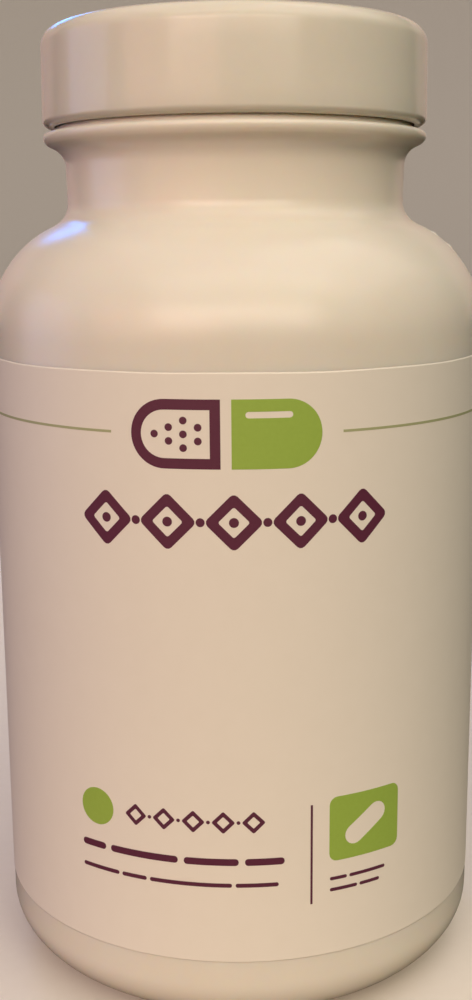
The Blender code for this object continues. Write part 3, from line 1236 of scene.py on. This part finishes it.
@dataclass
class Cap:
    """The smooth screw cap, with its thread and the ring that keeps the liner in."""

    top: float = 118.8 * MM
    rim: float = 107.07 * MM
    rim_radius: float = 23.9 * MM
    top_radius: float = 23.8 * MM
    bore: float = 22.4 * MM
    bore_round: float = 0.3 * MM
    ceiling_round: float = 0.3 * MM  # where the bore meets the top
    corner: float = 2.2 * MM
    top_wall: float = 1.4 * MM
    gate_radius: float = 1.9 * MM  # of the dimple round the moulding gate
    gate_floor: float = 1.55 * MM
    gate_depth: float = 0.22 * MM
    stub_radius: float = 0.42 * MM  # of the gate's cut stub, in the middle of the dimple
    stub_foot: float = 0.55 * MM
    stub_height: float = 0.14 * MM
    rim_round: float = 0.85 * MM  # height of the rounding under its side
    rim_reach: float = 1.15 * MM  # how far that rounding goes in
    keeper: float = 0.22 * MM  # how far the liner's ring stands out of the bore
    keeper_height: float = 115.75 * MM
    thread_root: float = 1.8 * MM
    thread_crest: float = 0.8 * MM
    thread_turns: float = 1.20
    thread_lift: float = 0.4 * MM  # how far it lies above the middle of the neck's groove
    thread_low: float = 1.6 * MM  # height of its lower end above the rim, as near as it can be
    sides: int = 192

    @classmethod
    def from_frame(cls) -> Cap:
        """Takes the outside sizes from the CAD node."""
        low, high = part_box("cap")
        return cls(top=high.z, rim=low.z, rim_radius=high.x, top_radius=high.x - 0.1 * MM)

    def outline(self) -> Outline:
        """Draws the cap from the middle of its top, down its side, round the rim and up its bore.

        Returns:
            The finished line.
        """
        bend = (self.top_radius - self.corner, self.top - self.corner)
        ceiling = self.top - self.top_wall
        gate = self.top - self.gate_depth
        under = (self.rim_radius - self.rim_reach, self.rim + self.rim_round)
        inside = (self.bore + self.bore_round, self.rim + self.bore_round)

        pen = Outline(0.0, gate + self.stub_height)
        pen.line(self.stub_radius, gate + self.stub_height, soft=0.06 * MM)
        pen.line(self.stub_foot, gate).line(self.gate_floor, gate, soft=0.15 * MM)
        pen.line(self.gate_radius, self.top, soft=0.12 * MM)
        pen.line(bend[0], self.top, parts=5).curve(bend, 90, 12)
        pen.line(self.rim_radius, under[1], parts=5)
        pen.curve(under, 90, 8, stretch=(1.0, self.rim_round / self.rim_reach))
        pen.line(inside[0], self.rim).curve(inside, 90, 4)
        pen.line(self.bore, self.keeper_height - self.keeper, parts=4)
        pen.curve((self.bore, self.keeper_height), -180, 8)
        pen.line(self.bore, ceiling, soft=self.ceiling_round)
        return pen.line(0.0, ceiling, parts=3)

    def thread(self) -> ThreadRib:
        """Places the cap's thread in the groove under the neck's thread.

        Returns:
            The rib, ready to be swept.
        """
        groove = BEAD_TOP + THREAD_START - THREAD_PITCH / 2 + self.thread_lift - self.rim
        start = round((self.thread_low - groove) / THREAD_PITCH * 48) / 48  # to a 48th of a turn
        return ThreadRib(
            wall=self.bore,
            side=RibSide.INSIDE,
            root_width=self.thread_root,
            crest_width=self.thread_crest,
            turns=self.thread_turns,
            first_turn=start,
            first_height=self.rim + groove + THREAD_PITCH * start,
            pitch=THREAD_PITCH,
        )

    def build(self) -> None:
        """Makes the cap and its thread."""
        skin = self.outline().revolve(self.sides)
        deliver(skin, "cap_shell", WHITE_PP, "cap", replaces="cap", sharp=40)
        deliver(self.thread().mesh(), "cap_thread", WHITE_PP, "cap")


@dataclass
class Liner:
    """The foam disc inside the cap, dented where the bottle's lip has pressed it."""

    radius: float = 22.0 * MM
    bottom: float = 116.1 * MM
    top: float = 117.1 * MM
    lip_inner: float = 18.6 * MM
    lip_outer: float = 21.03 * MM
    dent: float = 0.07 * MM
    dent_slope: float = 0.3 * MM  # width of the dent's sloping sides
    dent_soft: float = 0.1 * MM
    edge: float = 0.18 * MM
    sides: int = 128

    @classmethod
    def from_frame(cls) -> Liner:
        """Takes the sizes from the CAD node."""
        low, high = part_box("liner")
        return cls(radius=high.x, bottom=low.z, top=high.z)

    def build(self) -> None:
        """Makes the disc."""
        dented = self.bottom + self.dent
        pen = Outline(0.0, self.bottom)
        pen.line(self.lip_inner, self.bottom, parts=3, soft=self.dent_soft)
        pen.line(self.lip_inner + self.dent_slope, dented, soft=self.dent_soft)
        pen.line(self.lip_outer - self.dent_slope, dented, soft=self.dent_soft)
        pen.line(self.lip_outer, self.bottom, soft=self.dent_soft)
        pen.line(self.radius, self.bottom, soft=self.edge)
        pen.line(self.radius, self.top, soft=self.edge).line(0.0, self.top, parts=3)
        skin = pen.revolve(self.sides)
        deliver(skin, "liner_disc", LINER_FOAM, "liner", replaces="liner")


# -------------------------------------------------------------------------------------------------
# The studio


@dataclass
class Softbox:
    """A flat studio light, aimed at a point."""

    name: str
    place: tuple[float, float, float]
    aim: tuple[float, float, float]
    width: float
    height: float
    watts: float
    colour: str

    def build(self) -> None:
        """Makes the light and turns it to its point."""
        lamp = bpy.data.lights.new(self.name, "AREA")
        lamp.shape = "RECTANGLE"
        lamp.size, lamp.size_y = self.width, self.height
        lamp.energy = self.watts
        lamp.color = linear(self.colour)[:3]
        light = bpy.data.objects.new(self.name, lamp)
        light.location = self.place
        sight = Vector(self.aim) - light.location
        light.rotation_euler = sight.to_track_quat("-Z", "Y").to_euler()
        light.visible_camera = False
        bpy.context.scene.collection.objects.link(light)


@dataclass
class Studio:
    """A pale painted sweep all round, a reflector card under the bottle, and soft light from in
    front, above and behind."""

    reach: float = 1.5
    bend: float = 0.45  # radius that the floor turns up into the wall with
    wall: float = 1.3
    drop: float = 0.05 * MM  # how far the floor is under the base, so that the two don't touch
    card_reach: float = 0.09
    card_drop: float = 0.06 * MM  # under the floor, which shadows and bounced light pass through
    sky: str = "#C9BBA8"
    sky_strength: float = 0.01
    middle: tuple[float, float, float] = (0.0, 0.0, 0.065)
    mouth: tuple[float, float, float] = (0.0, 0.0, 0.6)  # a point that the sweep faces everywhere

    def lights(self) -> list[Softbox]:
        """Lists the lights.

        Returns:
            The softboxes, ready to be built.
        """
        window_aim, wall_aim = (-0.019, -0.013, 0.095), (0.0, 1.5, 0.45)
        floor_aim = (0.0, 1.2, 0.0)
        table = (
            ("ceiling", (0.00, -0.15, 1.20), self.middle, 1.50, 1.30, 2.60, "#FFF5FA"),
            ("back_top", (0.00, 0.50, 0.85), self.middle, 0.90, 0.50, 0.75, "#FFDFD1"),
            ("front_left", (-0.55, -0.75, 0.34), self.middle, 1.00, 0.50, 2.35, "#FFBCA8"),
            ("top_right", (0.45, -0.05, 0.85), self.middle, 0.90, 0.80, 1.90, "#FFF3EC"),
            ("front_high", (0.00, -0.85, 0.90), self.middle, 1.60, 0.90, 5.00, "#FFF9E2"),
            ("front_middle", (0.00, -0.90, 0.45), self.middle, 1.40, 0.35, 4.35, "#FFEBDA"),
            ("front_right", (0.55, -0.60, 0.60), self.middle, 0.70, 0.70, 0.70, "#FFFAC6"),
            ("side_left", (-0.70, 0.04, 0.17), self.middle, 0.42, 0.40, 0.64, "#C0C6FF"),
            ("back_low", (0.00, 0.90, 0.32), self.middle, 2.00, 0.50, 1.60, "#FFD8C6"),
            ("window", (-0.300, 0.75, 0.480), window_aim, 0.21, 0.15, 0.60, "#008CFF"),
            ("wall_wash", (0.00, 0.70, 1.00), wall_aim, 1.40, 0.40, 1.30, "#FFF4E8"),
            ("floor_wash", (0.00, 0.25, 0.50), floor_aim, 1.20, 0.30, 0.90, "#FFF4E8"),
        )
        return [Softbox(*row) for row in table]

    def set_up(self, skin: bmesh.types.BMesh, name: str, finish: Finish) -> bpy.types.Object:
        """Turns a finished bmesh into a part of the studio, which isn't part of the object.

        Args:
            skin: The part, with its place in its mesh.
            name: The part's name.
            finish: What it is painted with.

        Returns:
            The new object, which neither gloss nor shadows show.
        """
        for face in skin.faces:
            if face.normal.dot(Vector(self.mouth) - face.calc_center_median()) < 0:
                face.normal_flip()
        mesh = bpy.data.meshes.new(name)
        skin.to_mesh(mesh)
        skin.free()
        mesh.shade_smooth()
        mesh.materials.append(finish.material())
        part = bpy.data.objects.new(name, mesh)
        bpy.context.scene.collection.objects.link(part)
        part.visible_glossy = False
        part.visible_shadow = False
        return part

    def build(self) -> None:
        """Makes the sweep, the reflector card that lights the heel, the lights and the sky."""
        flat = self.reach - self.bend
        pen = Outline(0.0, -self.drop).line(flat, -self.drop, parts=6)
        pen.curve((flat, self.bend), -90, 16).line(self.reach, self.wall)
        sweep = self.set_up(pen.revolve(96), "sweep", SWEEP_PAINT)
        sweep.visible_diffuse = False
        pen = Outline(0.0, -self.card_drop).line(self.card_reach, -self.card_drop, parts=2)
        card = self.set_up(pen.revolve(48), "reflector_card", CARD_PAINT)
        card.visible_camera = False
        for light in self.lights():
            light.build()
        world = bpy.data.worlds.new("studio_air")
        world.use_nodes = True
        background = world.node_tree.nodes["Background"]
        background.inputs["Color"].default_value = linear(self.sky)
        background.inputs["Strength"].default_value = self.sky_strength
        bpy.context.scene.world = world


@dataclass
class Viewpoint:
    """The camera: close, level with the shoulder and looking a little down."""

    place: tuple[float, float, float] = (-0.16 * MM, -167.86 * MM, 94.10 * MM)
    pitch: float = 11.665  # degrees below level
    roll: float = -0.423
    lens: float = 46.3  # mm, for a long side of 36 mm

    def build(self) -> None:
        """Makes the camera and points it."""
        data = bpy.data.cameras.new("camera")
        data.lens = self.lens
        data.sensor_width = 36.0
        data.clip_start, data.clip_end = 0.01, 20.0
        camera = bpy.data.objects.new("camera", data)
        tilt = Matrix.Rotation(math.radians(90 - self.pitch), 4, "X")
        roll = Matrix.Rotation(math.radians(self.roll), 4, "Z")
        camera.matrix_world = Matrix.Translation(self.place) @ tilt @ roll
        bpy.context.scene.collection.objects.link(camera)
        bpy.context.scene.camera = camera


def main() -> None:
    """Builds the camera, the bottle, the label, the cap, the liner and the studio, in order."""
    logging.basicConfig(level=logging.INFO, format="%(name)s: %(message)s")
    scene = bpy.context.scene
    scene.view_settings.view_transform = "Standard"
    scene.view_settings.look = "None"
    for part in (
        Viewpoint(),
        Bottle.from_frame(),
        Label.from_frame(),
        Cap.from_frame(),
        Liner.from_frame(),
        Studio(),
    ):
        part.build()
        log.info("built %s", type(part).__name__.lower())


if __name__ == "__main__":
    main()
